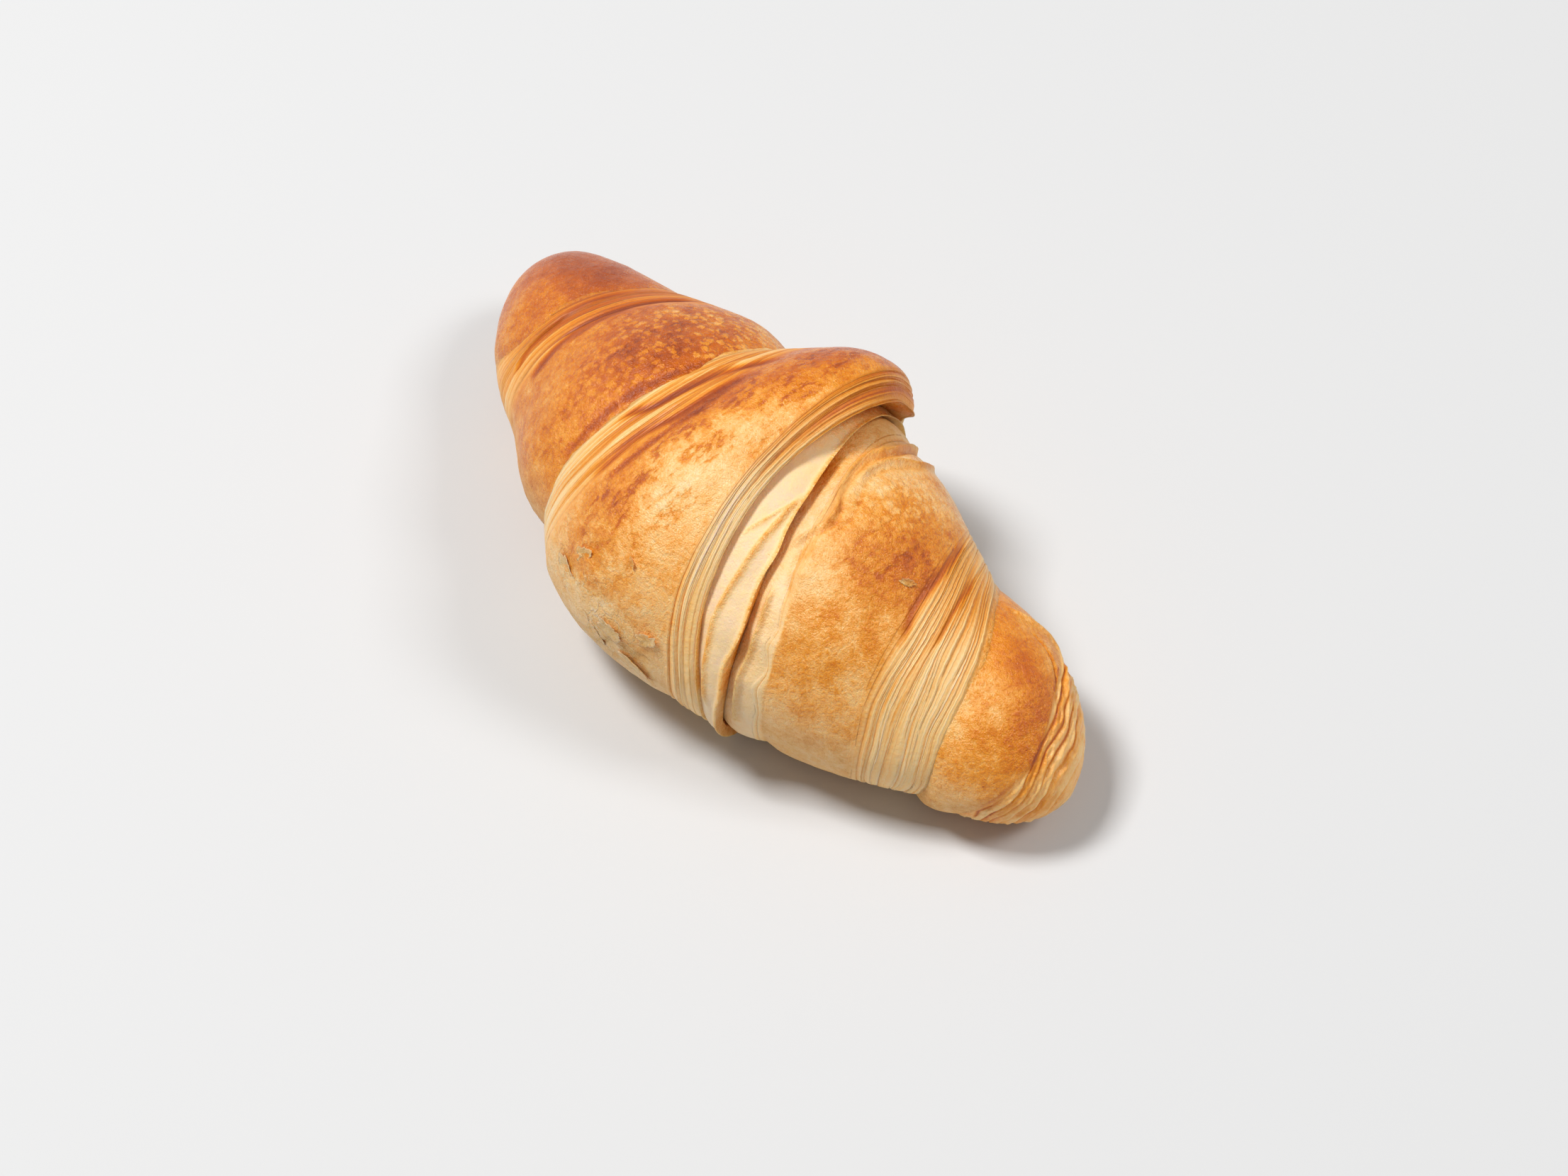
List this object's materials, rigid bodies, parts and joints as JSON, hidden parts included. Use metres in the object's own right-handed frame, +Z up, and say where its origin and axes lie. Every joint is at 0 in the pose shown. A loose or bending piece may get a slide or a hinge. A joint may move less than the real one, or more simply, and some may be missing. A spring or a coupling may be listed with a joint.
{
  "type": "croissant",
  "caption": "Baked butter croissant: a slightly bowed roll of laminated dough with stepped wraps, layered cut edges, an overhanging lip and rounded ends, resting on a flat base.",
  "frame": {"origin": "centre of the bounding box, on the surface that the croissant rests on", "axes": "+X along the roll, from the narrow tail to the nose with its open layers; +Y to the back, where the lip hangs free and to which both ends bow; +Z up"},
  "size_m": [0.168, 0.0824, 0.0601],
  "materials": {
    "crust": "satin golden crust"
  },
  "bodies": {
    "root": {"croissant": "crust"}
  },
  "joints": []
}
